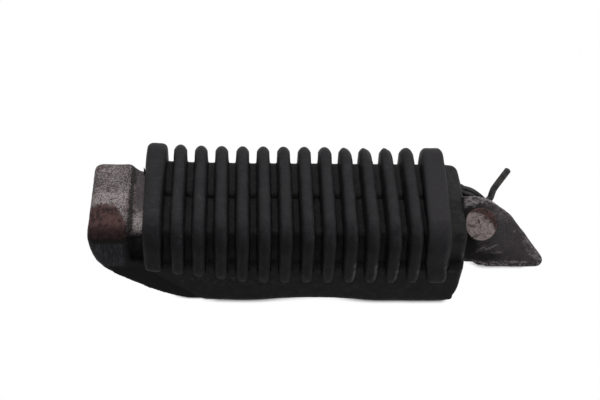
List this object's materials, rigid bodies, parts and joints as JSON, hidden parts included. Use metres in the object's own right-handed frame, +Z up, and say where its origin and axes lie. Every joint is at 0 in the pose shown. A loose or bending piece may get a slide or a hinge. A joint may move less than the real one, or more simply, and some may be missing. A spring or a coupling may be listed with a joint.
{
  "type": "motorcycle footpeg",
  "caption": "Folding motorcycle footpeg: finned rubber tread on a forged steel peg with an upturned end knob, hinged on a clevis pin with a return spring.",
  "frame": {"origin": "bottom centre of the bounding box, on the surface that the flat underside of the tread rests on", "axes": "+X along the peg towards the fork that hinges on the motorcycle, -X towards the upturned knob; +Z up from the underside; the pivot axis lies in the YZ plane, tilted 45 degrees"},
  "size_m": [0.1656, 0.0526, 0.0396],
  "materials": {
    "forged_steel": "worn black paint over forged steel, bare and speckled with light rust on the end knob and neck",
    "rubber": "matt moulded black rubber with faint dust and scuffs",
    "pin_steel": "worn bare steel with rust in the pits",
    "spring_steel": "dark oiled spring wire"
  },
  "bodies": {
    "peg": {"footpeg_body": "forged_steel", "rubber_tread": "rubber", "return_spring": "spring_steel"},
    "pin": {"pivot_pin": "pin_steel", "pin_washer": "pin_steel", "split_pin": "pin_steel"}
  },
  "joints": [
    {"name": "pin_turn", "type": "hinge", "parent": "peg", "child": "pin", "pos_m": [0.05911, 0, 0.0182], "axis": [0, -0.7071, 0.7071], "continuous": true}
  ]
}
